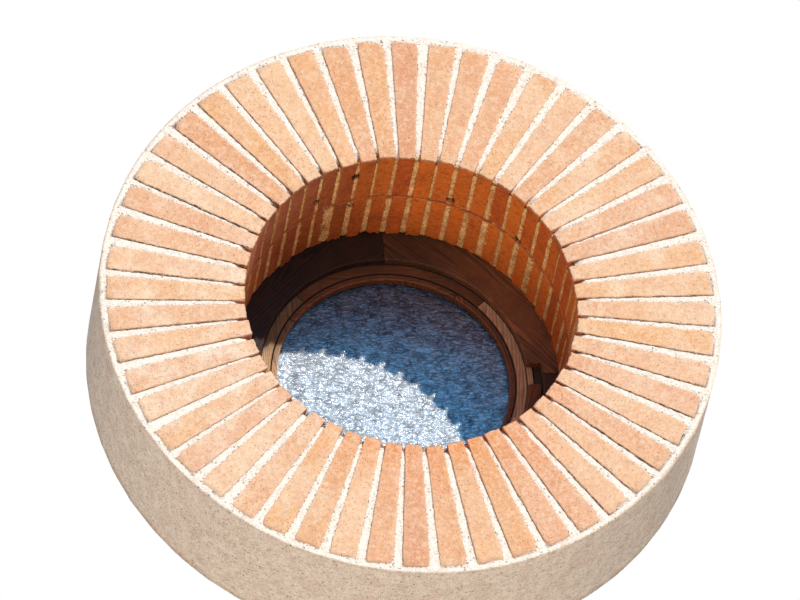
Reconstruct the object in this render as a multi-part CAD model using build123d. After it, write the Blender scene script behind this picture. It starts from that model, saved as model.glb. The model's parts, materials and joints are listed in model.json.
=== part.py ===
from build123d import *
import math
import os
import random

os.makedirs("parts", exist_ok=True)

# Round window with a horizontally pivoted timber sash, in its ring of wedge bricks.
# The wall face looks towards -Y and +Z is up. The origin is on the window's axis, at the
# front of the mortar that beds the ring. Angles run anticlockwise from +X, seen from outside.
# All lengths are millimetres.

# Ring of wedge bricks, two bricks deep
brick_count = 52
opening_radius = 293.0
brick_length = 245.0
brick_depth = 127.0
brick_arris = 1.6
joint_at_reveal = 5.5
rear_joint_at_reveal = 8.5
joint_at_rim = 16.0
joint_between_rings = 4.0
joint_recess = 4.0
reveal_recess = 2.0
mortar_collar = 12.0
brick_groups = {"right": 0, "top": 1, "left": 2, "bottom": 3}

# How unevenly the bricks were laid
uneven_angle = 0.22
uneven_lean = 0.35
uneven_end = 1.8
uneven_face = 0.8

# Holes left in the mortar of the reveal, as (angle, distance behind the mortar's face)
mortar_holes = [(117.7, 88.0), (103.8, 47.0), (103.8, 144.0), (69.2, 112.0), (41.5, 119.0)]
mortar_hole_radius = 3.6
mortar_hole_depth = 14.0
mortar_hole_sides = 8

# Timber frame behind the ring: outer board, lining and room-side stop
frame_behind_ring = 37.0
board_in_view = 54.0
stop_thickness = 16.0
stop_gap = 1.5
lining_thickness = 42.0
board_arris = 1.5
stop_arris = 3.0
pivot_gap = 43.0
lining_joint_angle = 60.0

# Sash
bead_width = 23.0
bead_clearance = 4.0
bead_on_sash = 11.0
sash_clearance = 3.0
sash_width = 31.0
sash_arris = 1.5
sash_joint_angle = 42.5
dowel_radius = 4.0
dowel_length = 40.0
dowel_spacing = 18.0

# Glass and its bead
glass_thickness = 5.0
glass_edge_gap = 1.5
glass_setback = 18.0
glazing_bead_width = 11.0
glazing_bead_gap = 0.8
glazing_bead_setback = 2.0
glazing_bead_joint_angle = 54.0
bedding_thickness = 1.5

# Sash pivots
pivot_radius = 5.0
pivot_play = 0.06
pivot_in_socket = 14.0
socket_wall = 3.0
socket_floor = 3.0
plate_length = 60.0
plate_width = 20.0
plate_thickness = 3.0
plate_set_in = 2.0
plate_screw_spacing = 44.0

# Bolt at the top, on the room side
bolt_radius = 4.0
bolt_play = 0.08
bolt_length = 60.0
bolt_travel = 20.0
bolt_tip_gap = 1.5
bolt_plate_length = 60.0
bolt_plate_width = 24.0
bolt_plate_thickness = 1.5
bolt_guide_thickness = 7.0
bolt_guide_width = 15.0
bolt_guide_wall = 2.5
bolt_guide_inset = 6.0
bolt_knob_radius = 3.0
bolt_knob_gap = 2.0
bolt_knob_length = 8.0
bolt_knob_head = 5.0
keeper_width = 30.0
keeper_height = 16.0
keeper_guide_height = 12.0
keeper_play = 1.0

# Screws
small_screw_radius = 1.9
small_screw_head = 3.6
small_screw_length = 18.0
tiny_screw_radius = 1.4
tiny_screw_head = 2.6
tiny_screw_length = 13.0
frame_screw_radius = 3.0
frame_screw_head = 6.0
frame_screw_length = 120.0
frame_screw_count = 8
screw_edge = 1.0
screw_play = 0.05
glue_line = 0.05

# Sizes that follow from those above
ring_front = -joint_recess
ring_rim = opening_radius + brick_length
ring_depth = 2 * brick_depth + joint_between_rings
ring_back = ring_front + ring_depth
mortar_rim = ring_rim + mortar_collar
brick_pitch = 360 / brick_count
frame_rim = opening_radius + frame_behind_ring
board_edge = opening_radius - board_in_view
bead_rim = board_edge + bead_width
stop_edge = bead_rim + bead_clearance
sash_rim = board_edge + bead_on_sash
lining_edge = sash_rim + sash_clearance
rebate_radius = sash_rim - sash_width
sight_radius = rebate_radius - glazing_bead_width
lining_front = ring_back + stop_thickness
lining_back = lining_front + lining_thickness
frame_back = lining_back + stop_thickness
glass_front = lining_front + glass_setback
glass_back = glass_front + glass_thickness
bedding_back = glass_back + bedding_thickness
glass_radius = rebate_radius - glass_edge_gap
pivot_y = (lining_front + lining_back) / 2
stop_end = pivot_gap / 2
bolt_foot = stop_edge + bolt_tip_gap
bolt_y = frame_back + bolt_plate_thickness + bolt_guide_wall + bolt_radius
bolt_guide_spacing = bolt_guide_thickness + 2 * (bolt_knob_radius + bolt_knob_gap) + bolt_travel
keeper_middle = (board_edge + bead_rim) / 2
reach = 4 * mortar_rim

wall_plane = Plane((0, 0, 0), x_dir=(1, 0, 0), z_dir=(0, 1, 0))
window_axis = Axis((0, 0, 0), (0, -1, 0))
chance = random.Random(7)


# Shapes used by several pieces


def uneven(amount):
    return chance.uniform(-amount, amount)


def turned(shape, angle):
    return Rot(0, -angle, 0) * shape


def swept(outline, start=0.0, end=360.0):
    """Sweeps an outline of (radius, depth) points round the window from one angle to another."""
    face = make_face(Polyline(*outline, close=True))
    return turned(revolve(face, axis=window_axis, revolution_arc=end - start), start)


def band(inner, outer, front, back, arris=0.0):
    """Outline of a flat ring, with its front inner corner taken off."""
    points = [(inner + arris, front), (outer, front), (outer, back), (inner, back)]
    if arris > 0:
        points.append((inner, front + arris))
    return points


def room_band(inner, outer, front, back, arris):
    """Outline of a flat ring, with its back inner corner taken off."""
    return [(inner, front), (outer, front), (outer, back), (inner + arris, back), (inner, back - arris)]


def outside_stop():
    """Outline of the board that stops the sash outside, set back behind to leave a gap."""
    back = lining_front - stop_gap
    return [
        (board_edge + board_arris, ring_back),
        (frame_rim, ring_back),
        (frame_rim, lining_front),
        (lining_edge, lining_front),
        (lining_edge, back),
        (board_edge, back),
        (board_edge, ring_back + board_arris),
    ]


def inside_stop():
    """Outline of the board that stops the sash on the room side, with the same gap."""
    front = lining_back + stop_gap
    return [
        (board_edge, front),
        (lining_edge, front),
        (lining_edge, lining_back),
        (frame_rim, lining_back),
        (frame_rim, frame_back),
        (board_edge + stop_arris, frame_back),
        (board_edge, frame_back - stop_arris),
    ]


def above(shape, height):
    return shape & (Pos(0, 0, height + reach / 2) * Box(reach, reach, reach))


def below(shape, height):
    return shape & (Pos(0, 0, height - reach / 2) * Box(reach, reach, reach))


def rod(radius, start, end):
    """A round bar between two points."""
    direction = Vector(*end) - Vector(*start)
    return extrude(Plane(start, z_dir=direction) * Circle(radius), amount=direction.length)


def block(x_range, y_range, z_range):
    size = [high - low for low, high in (x_range, y_range, z_range)]
    middle = [(high + low) / 2 for low, high in (x_range, y_range, z_range)]
    return Pos(*middle) * Box(*size)


def screw(radius, head, length, play=0.0):
    """A countersunk screw down the -Z axis, its head flush with z = 0. Play makes its hole."""
    outline = [
        (0, 0),
        (head + play, 0),
        (radius + play, -(head - radius)),
        (radius + play, -(length + play)),
        (0, -(length + play)),
    ]
    return revolve(make_face(Plane.XZ * Polyline(*outline, close=True)), axis=Axis.Z)


def facing(direction, place):
    """Where a screw goes that is driven in along a direction from a place."""
    return Location(Plane(place, z_dir=-Vector(*direction)))


def only(shape):
    """The single solid of a shape."""
    solids = shape.solids()
    if len(solids) != 1:
        raise ValueError(f"{len(solids)} solids where one was meant")
    return solids[0]


def group(shapes):
    return Compound(children=[only(shape) for shape in shapes])


# Bricks and mortar


def half_width(radius, inner_joint):
    """Half a brick's width at a radius, between joints that widen from the reveal to the rim."""
    share = (radius - opening_radius) / brick_length
    joint = inner_joint + share * (joint_at_rim - inner_joint)
    return (2 * math.pi * radius / brick_count - joint) / 2


def brick_angle(index):
    return (index + 0.5) * brick_pitch


def wedge_brick(index, front, back, inner_joint, on_wall_face):
    """One brick of the ring, with the arrises that can be seen taken off."""
    inner = opening_radius + uneven(uneven_end)
    lean = uneven(uneven_lean)
    angle = brick_angle(index) + uneven(uneven_angle)
    thin_end = half_width(opening_radius, inner_joint)
    thick_end = half_width(ring_rim, inner_joint)
    outline = [(inner, thin_end), (ring_rim, thick_end), (ring_rim, -thick_end), (inner, -thin_end)]
    face = wall_plane.offset(front) * make_face(Polyline(*outline, close=True))
    brick = extrude(face, amount=back - front)
    edges = brick.faces().sort_by(Axis.X)[0].edges().filter_by(Axis.Y)
    if on_wall_face:
        edges += brick.faces().sort_by(Axis.Y)[0].edges()
    brick = chamfer(edges, brick_arris)
    middle = (inner + ring_rim) / 2
    leaning = Pos(middle, 0, 0) * Rot(0, lean, 0) * Pos(-middle, 0, 0)
    return turned(leaning * brick, angle)


def fixing_angles():
    """Angles of the frame screws, each at the middle of the nearest brick."""
    spread = 360 / frame_screw_count
    wanted = [(step + 0.5) * spread for step in range(frame_screw_count)]
    return [brick_angle(round(angle / brick_pitch - 0.5)) for angle in wanted]


def frame_screws(play=0.0):
    radius = (opening_radius + frame_rim) / 2
    shape = screw(frame_screw_radius, frame_screw_head, frame_screw_length, play)
    return [
        turned(facing((0, -1, 0), (radius, frame_back, 0)) * shape, angle) for angle in fixing_angles()
    ]


def brick_ring():
    front_ring = []
    rear_ring = []
    rear_front = ring_back - brick_depth
    for index in range(brick_count):
        front_face = ring_front + uneven(uneven_face)
        front_back = ring_front + brick_depth
        front_ring.append(wedge_brick(index, front_face, front_back, joint_at_reveal, True))
        rear_ring.append(wedge_brick(index, rear_front, ring_back, rear_joint_at_reveal, False))
    return front_ring, rear_ring


def mortar_bed(bricks):
    face = opening_radius + reveal_recess
    bed = swept(band(face, mortar_rim, 0, ring_back - joint_recess)) - bricks
    outline = RegularPolygon(mortar_hole_radius, mortar_hole_sides)
    for angle, depth in mortar_holes:
        mouth = Plane((opening_radius, depth, 0), z_dir=(1, 0, 0))
        bed -= turned(extrude(mouth * outline, reveal_recess + mortar_hole_depth), angle)
    return bed


def make_ring(parts):
    front_ring, rear_ring = brick_ring()
    parts["mortar_bed"] = only(mortar_bed(front_ring + rear_ring))
    holes = frame_screws(screw_play)
    fixed = [round(angle / brick_pitch - 0.5) for angle in fixing_angles()]
    for index, hole in zip(fixed, holes):
        rear_ring[index] -= hole
    for side, step in brick_groups.items():
        first = math.ceil((step - 0.5) * brick_count / 4)
        after = math.ceil((step + 0.5) * brick_count / 4)
        members = [index % brick_count for index in range(first, after)]
        parts[f"front_bricks_{side}"] = group([front_ring[index] for index in members])
        parts[f"rear_bricks_{side}"] = group([rear_ring[index] for index in members])


# Timber frame


def drilled(shape, holes):
    for hole in holes:
        shape = shape - hole
    return shape


def make_outer_boards(parts):
    """Four boards behind the bricks. Above the pivots they also stop the sash."""
    holes = frame_screws(screw_play)
    corners = {"upper_right": 0, "upper_left": 90, "lower_left": 180, "lower_right": 270}
    for name, start in corners.items():
        end = start + 90
        rim = band(stop_edge, frame_rim, ring_back, lining_front, 0 if start < 180 else board_arris)
        board = swept(rim, start, end)
        if start < 180:
            board = board + above(swept(outside_stop(), start, end), stop_end)
        parts[f"outer_board_{name}"] = only(drilled(board, holes))


def make_lining(parts):
    """Four pieces of lining. The sash pivots are let into the left and right ones."""
    holes = frame_screws(screw_play)
    sockets = [turned(socket_recess(), angle) for angle in (0, 180)]
    for name, quarter in (("right", 0), ("top", 1), ("left", 2), ("bottom", 3)):
        start = lining_joint_angle + 90 * (quarter - 1)
        piece = swept(band(lining_edge, frame_rim, lining_front, lining_back), start, start + 90)
        parts[f"lining_{name}"] = only(drilled(piece, holes + sockets))


def make_room_stops(parts):
    """Four boards on the room side. Below the pivots they also stop the sash."""
    holes = frame_screws(screw_play)
    bolt_holes = bolt_screws(screw_play)
    for name, middle in (("right", 0), ("top", 90), ("left", 180), ("bottom", 270)):
        start = middle - 45
        wide = swept(band(stop_edge, frame_rim, lining_back, frame_back), start, start + 90)
        if name != "top":
            wide = wide + below(swept(inside_stop(), start, start + 90), -stop_end)
        cuts = holes + bolt_holes if name == "top" else holes
        parts[f"room_stop_{name}"] = only(drilled(wide, cuts))


# Sash


def sash_dowels(play=0.0):
    """Two dowels across each of the sash's four joints."""
    dowels = []
    radius = (rebate_radius + sash_rim) / 2
    for quarter in range(4):
        for side in (-1, 1):
            depth = pivot_y + side * dowel_spacing / 2
            half = dowel_length / 2 + play
            bar = rod(dowel_radius + play, (radius, depth, -half), (radius, depth, half))
            dowels.append(turned(bar, sash_joint_angle + 90 * quarter))
    return dowels


def sash_outline():
    return [
        (rebate_radius + sash_arris, lining_front),
        (sash_rim, lining_front),
        (sash_rim, lining_back),
        (sight_radius + sash_arris, lining_back),
        (sight_radius, lining_back - sash_arris),
        (sight_radius, bedding_back),
        (rebate_radius, bedding_back),
        (rebate_radius, lining_front + sash_arris),
    ]


def make_sash(parts):
    cuts = sash_dowels(glue_line) + [turned(pin_recess(), angle) for angle in (0, 180)]
    for name, middle in (("right", 0), ("top", 90), ("left", 180), ("bottom", 270)):
        start = middle - 90 + sash_joint_angle
        parts[f"sash_{name}"] = only(drilled(swept(sash_outline(), start, start + 90), cuts))
    parts["sash_dowels"] = group(sash_dowels())


def make_sash_beads(parts):
    """Beads on the sash: outside below the pivots, on the room side above them."""
    for name, start in (("left", 180), ("bottom", 240), ("right", 300)):
        outline = band(board_edge, bead_rim, ring_back, lining_front, stop_arris)
        parts[f"weather_bead_{name}"] = only(below(swept(outline, start, start + 60), -stop_end))
    for name, start in (("right", 0), ("top", 60), ("left", 120)):
        outline = room_band(board_edge, bead_rim, lining_back, frame_back, stop_arris)
        bead = above(swept(outline, start, start + 60), stop_end)
        if name == "top":
            bead = drilled(bead, keeper_screws(screw_play))
        parts[f"room_bead_{name}"] = only(bead)


def make_glazing(parts):
    bead_front = lining_front + glazing_bead_setback
    for name, quarter in (("upper_left", 0), ("lower_left", 1), ("lower_right", 2), ("upper_right", 3)):
        start = glazing_bead_joint_angle + 90 * quarter
        rim = rebate_radius - glazing_bead_gap
        outline = band(sight_radius, rim, bead_front, glass_front, sash_arris)
        parts[f"glazing_bead_{name}"] = only(swept(outline, start, start + 90))
    pane = [(0, glass_front), (glass_radius, glass_front), (glass_radius, glass_back), (0, glass_back)]
    parts["glass_pane"] = only(swept(pane))
    parts["glass_bedding"] = only(swept(band(sight_radius, glass_radius, glass_back, bedding_back)))


# Sash pivots, made for the right-hand side and turned for the left


def pivot_plate(face, inward):
    """A plate across the pivot, with its face at x = face and its back on the inward side."""
    back = face + inward * plate_thickness
    half = plate_width / 2
    return block(
        (min(face, back), max(face, back)),
        (pivot_y - half, pivot_y + half),
        (-plate_length / 2, plate_length / 2),
    )


def plate_screws(face, inward, play=0.0):
    shape = screw(small_screw_radius, small_screw_head, small_screw_length, play)
    return [
        facing((inward, 0, 0), (face, pivot_y, side * plate_screw_spacing / 2)) * shape for side in (-1, 1)
    ]


def pivot_pin():
    """Plate let into the sash's edge, with the pin that it turns on."""
    face = sash_rim - plate_set_in
    end = lining_edge + pivot_in_socket
    pin = rod(pivot_radius, (face - plate_thickness, pivot_y, 0), (end, pivot_y, 0))
    return drilled(pivot_plate(face, -1) + pin, plate_screws(face, -1, screw_play))


def pin_recess():
    """What is cut from the sash's edge for the plate and its screws."""
    face = sash_rim - plate_set_in
    half = plate_width / 2
    recess = block(
        (face - plate_thickness, sash_rim + plate_set_in),
        (pivot_y - half, pivot_y + half),
        (-plate_length / 2, plate_length / 2),
    )
    for hole in plate_screws(face, -1, screw_play):
        recess = recess + hole
    return recess


def pivot_socket():
    """Plate let into the lining, with a blind tube behind it for the pin."""
    depth = lining_edge + pivot_in_socket + pivot_play
    tube = rod(
        pivot_radius + pivot_play + socket_wall,
        (lining_edge, pivot_y, 0),
        (depth + socket_floor, pivot_y, 0),
    )
    hole = rod(pivot_radius + pivot_play, (sash_rim, pivot_y, 0), (depth, pivot_y, 0))
    return drilled(pivot_plate(lining_edge, 1) + tube, [hole] + plate_screws(lining_edge, 1, screw_play))


def socket_recess():
    """What is cut from the lining for the plate, the tube and the screws."""
    half = plate_width / 2
    recess = block(
        (lining_edge - plate_set_in, lining_edge + plate_thickness),
        (pivot_y - half, pivot_y + half),
        (-plate_length / 2, plate_length / 2),
    )
    depth = lining_edge + pivot_in_socket + pivot_play + socket_floor
    recess += rod(
        pivot_radius + pivot_play + socket_wall + glue_line,
        (lining_edge, pivot_y, 0),
        (depth, pivot_y, 0),
    )
    for hole in plate_screws(lining_edge, 1, screw_play):
        recess = recess + hole
    return recess


def make_pivots(parts):
    for name, angle in (("right", 0), ("left", 180)):
        parts[f"pivot_pin_{name}"] = only(turned(pivot_pin(), angle))
        parts[f"pivot_socket_{name}"] = only(turned(pivot_socket(), angle))
    pins = plate_screws(sash_rim - plate_set_in, -1)
    sockets = plate_screws(lining_edge, 1)
    parts["pivot_pin_screws"] = group([turned(shape, angle) for angle in (0, 180) for shape in pins])
    parts["pivot_socket_screws"] = group([turned(shape, angle) for angle in (0, 180) for shape in sockets])


# Bolt at the top: plate and guides on the frame, keeper on the sash


def guide(low, high):
    """A saddle over the bolt, round on its room side."""
    half = bolt_guide_width / 2
    crown = bolt_y + bolt_radius + bolt_guide_wall - half
    saddle = block((-half, half), (frame_back + bolt_plate_thickness, crown), (low, high))
    saddle += rod(half, (0, crown, low), (0, crown, high)) & block(
        (-half, half), (crown, crown + half), (low, high)
    )
    return saddle - rod(bolt_radius + bolt_play, (0, bolt_y, low), (0, bolt_y, high))


def bolt_screws(play=0.0):
    face = frame_back + bolt_plate_thickness
    shape = screw(tiny_screw_radius, tiny_screw_head, tiny_screw_length, play)
    inset = tiny_screw_head + screw_edge
    across = bolt_plate_width / 2 - inset
    heights = (bolt_foot + bolt_plate_length / 2, bolt_foot + bolt_plate_length - inset)
    return [
        facing((0, -1, 0), (side * across, face, height)) * shape for height in heights for side in (-1, 1)
    ]


def bolt_knob():
    """Turned stem and head, along +Z from the bolt's middle."""
    shoulder = bolt_radius + bolt_knob_length
    end = shoulder + 2 * bolt_knob_head
    outline = [
        (0, 0),
        (bolt_knob_radius, 0),
        (bolt_knob_radius, shoulder),
        (bolt_knob_head, shoulder + bolt_knob_head / 2),
        (bolt_knob_head, end - bolt_knob_head / 2),
        (bolt_knob_head / 2, end),
        (0, end),
    ]
    return revolve(make_face(Plane.XZ * Polyline(*outline, close=True)), axis=Axis.Z)


def make_bolt(parts):
    half = bolt_plate_width / 2
    foot = bolt_foot
    face = frame_back + bolt_plate_thickness
    body = block((-half, half), (frame_back, face), (foot, foot + bolt_plate_length))
    for low in (foot + bolt_guide_inset, foot + bolt_guide_inset + bolt_guide_spacing):
        body += guide(low, low + bolt_guide_thickness)
    parts["bolt_plate"] = only(drilled(body, bolt_screws(screw_play)))
    parts["bolt_plate_screws"] = group(bolt_screws())
    knob_height = foot + bolt_guide_inset + bolt_guide_spacing - bolt_knob_radius - bolt_knob_gap
    bar = rod(bolt_radius, (0, bolt_y, foot), (0, bolt_y, foot + bolt_length))
    bar += Location(Plane((0, bolt_y, knob_height), z_dir=(0, 1, 0))) * bolt_knob()
    parts["bolt_bar"] = only(bar)


def staple(low, high):
    """A squared loop on the keeper, which the bolt slides into."""
    opening = bolt_radius + keeper_play
    half = opening + bolt_guide_wall
    face = frame_back + bolt_plate_thickness
    loop = block((-half, half), (face, bolt_y + half), (low, high))
    return loop - block((-opening, opening), (face, bolt_y + opening), (low, high))


def keeper_screws(play=0.0):
    face = frame_back + bolt_plate_thickness
    shape = screw(tiny_screw_radius, tiny_screw_head, tiny_screw_length, play)
    across = keeper_width / 2 - tiny_screw_head - screw_edge
    return [facing((0, -1, 0), (side * across, face, keeper_middle)) * shape for side in (-1, 1)]


def make_keeper(parts):
    half = keeper_width / 2
    plate = block(
        (-half, half),
        (frame_back, frame_back + bolt_plate_thickness),
        (keeper_middle - keeper_height / 2, keeper_middle + keeper_height / 2),
    )
    low = keeper_middle - keeper_guide_height / 2
    loop = staple(low, low + keeper_guide_height)
    parts["bolt_keeper"] = only(drilled(plate + loop, keeper_screws(screw_play)))
    parts["bolt_keeper_screws"] = group(keeper_screws())


def main():
    parts = {}
    make_ring(parts)
    make_outer_boards(parts)
    make_lining(parts)
    make_room_stops(parts)
    parts["frame_screws"] = group(frame_screws())
    make_sash(parts)
    make_sash_beads(parts)
    make_glazing(parts)
    make_pivots(parts)
    make_bolt(parts)
    make_keeper(parts)
    for name, shape in parts.items():
        export_step(shape, f"parts/{name}.step")
    print(len(parts), "parts written")


main()
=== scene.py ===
import json
import math
import random

import bmesh
import bpy
from mathutils import Matrix, Vector, noise


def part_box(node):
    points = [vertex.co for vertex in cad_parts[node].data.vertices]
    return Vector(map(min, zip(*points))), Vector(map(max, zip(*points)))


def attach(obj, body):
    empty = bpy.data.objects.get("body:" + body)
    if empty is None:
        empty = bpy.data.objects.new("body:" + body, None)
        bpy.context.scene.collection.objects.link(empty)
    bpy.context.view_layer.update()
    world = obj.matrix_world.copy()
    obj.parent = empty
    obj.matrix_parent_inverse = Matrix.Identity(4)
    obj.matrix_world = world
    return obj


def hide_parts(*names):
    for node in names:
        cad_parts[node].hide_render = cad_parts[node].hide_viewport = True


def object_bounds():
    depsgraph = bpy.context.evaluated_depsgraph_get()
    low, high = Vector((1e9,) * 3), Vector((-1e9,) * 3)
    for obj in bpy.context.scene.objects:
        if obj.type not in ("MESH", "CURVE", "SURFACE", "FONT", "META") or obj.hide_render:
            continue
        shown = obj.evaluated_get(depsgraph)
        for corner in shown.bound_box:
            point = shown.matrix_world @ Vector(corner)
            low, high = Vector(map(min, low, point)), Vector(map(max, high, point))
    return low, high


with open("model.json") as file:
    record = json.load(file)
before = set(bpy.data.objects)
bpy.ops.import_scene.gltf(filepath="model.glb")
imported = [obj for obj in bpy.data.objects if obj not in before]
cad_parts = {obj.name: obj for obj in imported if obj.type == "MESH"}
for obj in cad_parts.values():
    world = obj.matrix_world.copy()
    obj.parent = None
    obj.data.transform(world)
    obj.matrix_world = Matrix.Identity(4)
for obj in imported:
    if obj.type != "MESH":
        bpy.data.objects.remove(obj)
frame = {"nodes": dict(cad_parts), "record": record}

nodes = frame["nodes"]
bodyOf = {name: body for body, names in frame["record"]["behaviour"]["bodies"].items() for name in names}
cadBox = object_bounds()
mm = 0.001
print("frame loaded,", len(nodes), "nodes")


# Helpers for shader nodes, which are added to the tree that is being drawn

drawing = {"tree": None}


def asLinear(colour):
    # three numbers are a colour as read off a screen, and four are a linear one, which shaders want
    if not isinstance(colour, tuple) or len(colour) == 4:
        return colour
    shares = [value / 255 for value in colour]
    linear = [share / 12.92 if share <= 0.04045 else ((share + 0.055) / 1.055) ** 2.4 for share in shares]
    return (*linear, 1.0)


def fillInputs(sockets, values):
    for name, value in values.items():
        if isinstance(value, bpy.types.NodeSocket):
            drawing["tree"].links.new(value, sockets[name])
        else:
            sockets[name].default_value = value


def addNode(kind, settings=None, inputs=None):
    made = drawing["tree"].nodes.new("ShaderNode" + kind)
    for name, value in (settings or {}).items():
        setattr(made, name, value)
    fillInputs(made.inputs, inputs or {})
    return made


def calc(operation, first, second=0.0, third=0.0, clamp=False):
    settings = {"operation": operation, "use_clamp": clamp}
    return addNode("Math", settings, {0: first, 1: second, 2: third}).outputs[0]


def times(first, second):
    return calc("MULTIPLY", first, second)


def timesPlus(value, by, plus):
    return calc("MULTIPLY_ADD", value, by, plus)


def larger(first, second):
    return calc("MAXIMUM", first, second)


def remap(value, fromLow, fromHigh, toLow=0.0, toHigh=1.0):
    inputs = {"Value": value, "From Min": fromLow, "From Max": fromHigh, "To Min": toLow, "To Max": toHigh}
    return addNode("MapRange", None, inputs).outputs["Result"]


def mixColour(factor, first, second, blend="MIX"):
    settings = {"data_type": "RGBA", "blend_type": blend}
    return addNode("Mix", settings, {0: factor, 6: asLinear(first), 7: asLinear(second)}).outputs[2]


def ramp(value, stops):
    made = addNode("ValToRGB", None, {"Fac": value})
    elements = made.color_ramp.elements
    while len(elements) < len(stops):
        elements.new(0.5)
    for element, (place, colour) in zip(elements, stops):
        element.position = place
        element.color = asLinear(colour)
    return made.outputs["Color"]


def evenRamp(value, colours):
    return ramp(value, [(step / (len(colours) - 1), colour) for step, colour in enumerate(colours)])


def noiseTexture(vector, scale, detail=3.0, roughness=0.6, distortion=0.0):
    inputs = {"Vector": vector, "Scale": scale, "Detail": detail, "Roughness": roughness,
              "Distortion": distortion}
    return addNode("TexNoise", None, inputs).outputs["Fac"]


def attribute(name):
    return addNode("Attribute", {"attribute_name": name}).outputs["Fac"]


def axes(vector):
    return addNode("SeparateXYZ", None, {0: vector}).outputs


def joined(x, y, z):
    return addNode("CombineXYZ", None, {0: x, 1: y, 2: z}).outputs[0]


def vectorMath(operation, first, second):
    return addNode("VectorMath", {"operation": operation}, {0: first, 1: second}).outputs


def mapped(vector, settings):
    return addNode("Mapping", None, {"Vector": vector, **settings}).outputs[0]


def bumped(height, strength, distance, under=None):
    inputs = {"Height": height, "Strength": strength, "Distance": distance}
    if under is not None:
        inputs["Normal"] = under
    return addNode("Bump", None, inputs).outputs[0]


def newGroup(name, settings, outputs):
    # a group takes a vector and its own settings, and gives out values over the surface
    tree = bpy.data.node_groups.new(name, "ShaderNodeTree")
    tree.interface.new_socket(name="Vector", in_out="INPUT", socket_type="NodeSocketVector")
    for label, value in settings.items():
        socket = tree.interface.new_socket(name=label, in_out="INPUT", socket_type="NodeSocketFloat")
        socket.default_value = value
    for label in outputs:
        tree.interface.new_socket(name=label, in_out="OUTPUT", socket_type="NodeSocketFloat")
    source = tree.nodes.new("NodeGroupInput")
    target = tree.nodes.new("NodeGroupOutput")
    drawing["tree"] = tree
    return tree, source.outputs, target.inputs


def useGroup(group, inputs):
    return addNode("Group", {"node_tree": group}, inputs).outputs


def patchMasks(vector, rows):
    # rows are (scale, where a patch starts, where it is full)
    masks = {}
    for name, (scale, low, high) in rows.items():
        inputs = {"Vector": vector, "Scale": scale, "Low": low, "High": high}
        masks[name] = useGroup(patches, inputs)["Mask"]
    return masks


def wornMask(vector, amount):
    inputs = {"Vector": vector, "Edge": attribute("wornEdge"), "Amount": amount}
    return useGroup(edgeWear, inputs)["Mask"]


def newMaterial(name):
    material = bpy.data.materials.new(name)
    material.use_nodes = True
    drawing["tree"] = material.node_tree
    drawing["tree"].nodes.clear()
    shader = addNode("BsdfPrincipled")
    addNode("OutputMaterial", None, {"Surface": shader.outputs[0]})
    place = addNode("TexCoord").outputs["Object"]
    return material, shader.inputs, place


def fillShader(shader, look, body, rough, height):
    fillInputs(shader, {"Base Color": body, "Roughness": rough, "Specular IOR Level": look["specular"],
                        "Normal": bumped(height, *look["bump"])})


def shadowedAndSoiled(body, look, shadowDirt):
    # painted shadow and dirt under the arrises, and painted shadow in the holes
    body = mixColour(times(shadowDirt, look["shadowDirtShare"]), body, look["shadowDirt"])
    return mixColour(times(attribute("hollow"), holeShadowShare), body, paintedShadowBlack)


# Effects that several materials share

sandShape = {
    "coarse": 0.28,  # this and the next are scales, as shares of the fine grains' scale
    "pits": 0.42,
    "pitEdge": (0.22, 0.36, 1.0, 0.0),
    "pitDepth": 0.8,
    "fineShare": 0.6,
    "coarseShare": 0.4,
}


def makeSandGrain():
    settings = {"Grains": 600.0, "Pits": 0.5}
    tree, given, result = newGroup("sandGrain", settings, ["Grain", "Pits", "Height"])
    vector, grains = given["Vector"], given["Grains"]
    fine = noiseTexture(vector, grains, 2.0, 0.7)
    coarse = noiseTexture(vector, times(grains, sandShape["coarse"]), 4.0, 0.65)
    pitScale = times(grains, sandShape["pits"])
    cells = addNode("TexVoronoi", None, {"Vector": vector, "Scale": pitScale}).outputs
    near = remap(cells["Distance"], *sandShape["pitEdge"])
    thin = addNode("SeparateColor", None, {"Color": cells["Color"]}).outputs[0]
    pits = times(near, calc("LESS_THAN", thin, given["Pits"]))
    grain = timesPlus(fine, sandShape["fineShare"], times(coarse, sandShape["coarseShare"]))
    height = calc("SUBTRACT", grain, times(pits, sandShape["pitDepth"]))
    fillInputs(result, {"Grain": grain, "Pits": pits, "Height": height})
    return tree


def makePatches():
    tree, given, result = newGroup("patches", {"Scale": 20.0, "Low": 0.4, "High": 0.65}, ["Mask"])
    cloud = noiseTexture(given["Vector"], given["Scale"], 5.0, 0.6, 0.4)
    fillInputs(result, {"Mask": remap(cloud, given["Low"], given["High"])})
    return tree


grainShape = {
    "along": 0.09,  # rings and fibres are squeezed to these shares, which draws them out along the board
    "fibreAlong": 0.03,
    "sway": (14.0, 2.0, 0.5),  # noises as scale, detail and roughness
    "fibre": (900.0, 3.0, 0.6),
    "broad": (45.0, 4.0, 0.6),
    "split": (210.0, 2.0, 0.4),
    "swayOut": 0.05,
    "swayUp": 0.12,
    "rings": {"Distortion": 2.6, "Detail": 3.0, "Detail Scale": 1.6},
    "ringLight": 0.42,
    "fibreLight": 0.33,
    "broadLight": 0.35,
    "crack": (0.66, 0.72),
    "crackDepth": 1.4,
    "ringHeight": 0.4,
    "fibreHeight": 0.5,
}


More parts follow.
